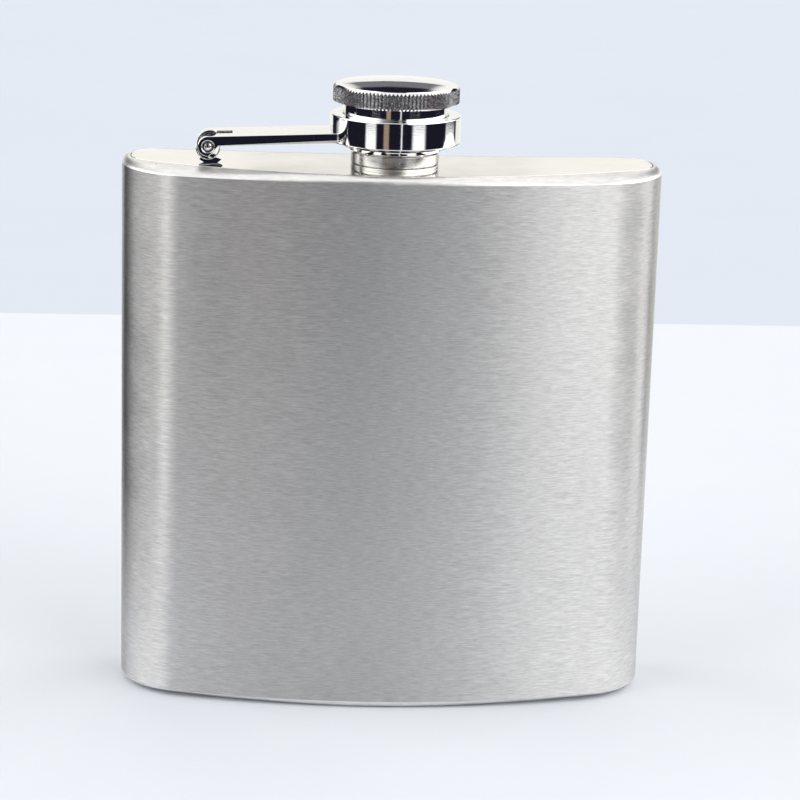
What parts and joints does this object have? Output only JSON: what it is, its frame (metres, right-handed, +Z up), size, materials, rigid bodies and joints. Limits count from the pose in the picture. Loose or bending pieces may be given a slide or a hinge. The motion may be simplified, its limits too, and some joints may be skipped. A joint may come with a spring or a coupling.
{
  "type": "hip flask",
  "caption": "Flat curved hip flask in brushed steel with a mirror top, a short neck and a knurled screw cap held captive in a ring on a hinged arm.",
  "frame": {"origin": "middle of the body's width and depth, in the plane the flask stands on", "axes": "+Z up out of the neck, +X from the hinge towards the neck, -Y out of the bowed front"},
  "size_m": [0.095, 0.0266, 0.111],
  "materials": {
    "brushed_steel": "fine brushing around the body",
    "ground_weld": "ground and satin polished weld",
    "mirror_plate": "mirror polished stainless sheet",
    "neck_steel": "polished turned steel",
    "fitting_chrome": "bright chrome plate",
    "pin_steel": "peened rivet",
    "gasket_silicone": "matt white silicone"
  },
  "bodies": {
    "flask": {"side_sheet": "brushed_steel", "top_weld": "ground_weld", "bottom_weld": "ground_weld", "top_plate": "mirror_plate", "bottom_plate": "brushed_steel", "neck": "neck_steel", "hinge_bracket": "fitting_chrome"},
    "arm": {"arm": "fitting_chrome", "ring": "fitting_chrome", "hinge_pin": "pin_steel"},
    "seal": {"cap_gasket": "gasket_silicone"},
    "cap": {"cap_head": "fitting_chrome", "cap_insert": "fitting_chrome"}
  },
  "joints": [
    {"name": "arm_swing", "type": "hinge", "parent": "flask", "child": "arm", "pos_m": [-0.0323, -0.001, 0.09945], "axis": [0, -1, 0], "range_deg": [0, 108]},
    {"name": "cap_lift", "type": "slide", "parent": "arm", "child": "seal", "axis": [0, 0, 1], "range_m": [0, 0.0028]},
    {"name": "cap_spin", "type": "hinge", "parent": "seal", "child": "cap", "pos_m": [0, -0.001, 0.1], "axis": [0, 0, 1], "range_deg": [0, 720]}
  ],
  "couplings": [
    {"joint": "cap_lift", "follows": "cap_spin", "m_per_rad": 0.0002228}
  ]
}
